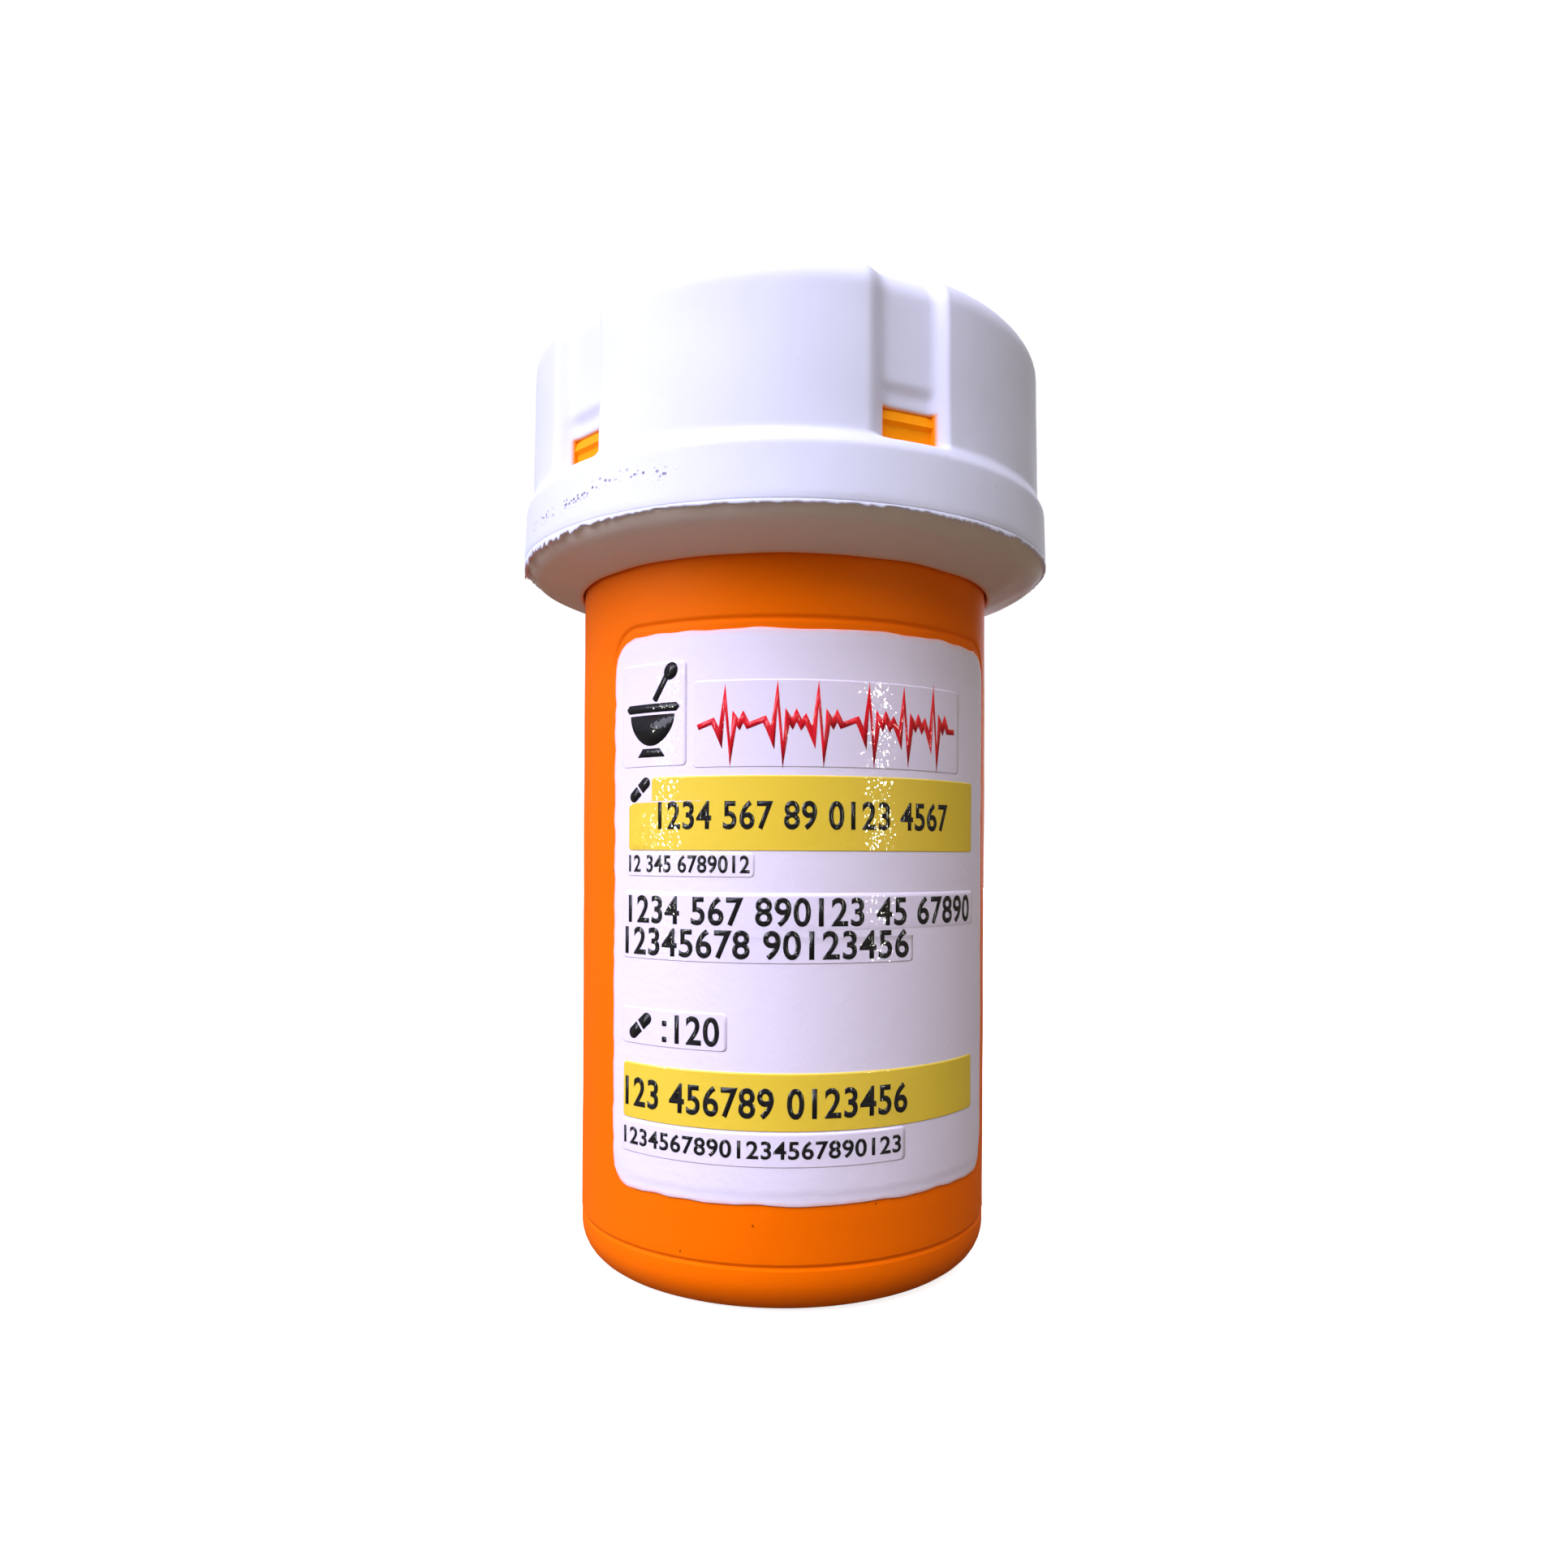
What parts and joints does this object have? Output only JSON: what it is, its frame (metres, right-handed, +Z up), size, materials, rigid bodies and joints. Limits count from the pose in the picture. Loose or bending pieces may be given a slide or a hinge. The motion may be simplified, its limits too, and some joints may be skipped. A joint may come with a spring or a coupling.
{
  "type": "prescription vial",
  "caption": "Orange prescription vial with a white push-down-and-turn lug cap, a wrap label and clear printed strips.",
  "frame": {"origin": "centre of the foot, on the surface the vial stands on", "axes": "+Z up the vial towards the cap; -Y towards the front of the label; +X to the right of it"},
  "size_m": [0.0444, 0.0444, 0.0748],
  "materials": {
    "vial_pp": "moulded satin",
    "cap_pp": "moulded satin",
    "ring_pp": "moulded satin",
    "label_print": "fine grain, matt",
    "film_clear": "gloss film over print",
    "film_yellow": "gloss film over print",
    "wad_foam": "smooth foam",
    "spring_ldpe": "moulded"
  },
  "bodies": {
    "vial": {"vial_body": "vial_pp", "label": "label_print", "film_emblem": "film_clear", "film_name": "film_clear", "film_band_upper": "film_yellow", "film_item": "film_clear", "film_directions": "film_clear", "film_quantity": "film_clear", "film_band_lower": "film_yellow", "film_footer": "film_clear"},
    "wad": {"seal_wad": "wad_foam"},
    "spring": {"spring_disc": "spring_ldpe"},
    "cap": {"cap_shell": "cap_pp", "bayonet_ring": "ring_pp", "skirt_ring": "cap_pp"}
  },
  "joints": [
    {"name": "cap_lift", "type": "slide", "parent": "vial", "child": "wad", "axis": [0, 0, 1], "range_m": [0, 0.03]},
    {"name": "cap_press", "type": "slide", "parent": "wad", "child": "spring", "axis": [0, 0, 1], "range_m": [-0.001, 0], "stiffness_N_per_m": 1000, "deforming": ["spring_disc"]},
    {"name": "cap_turn", "type": "hinge", "parent": "spring", "child": "cap", "pos_m": [0, 0, 0], "axis": [0, 0, 1], "range_deg": [-36, 0]}
  ],
  "couplings": [
    {"joint": "cap_turn", "follows": "cap_press", "rad_per_m": 628.31}
  ]
}
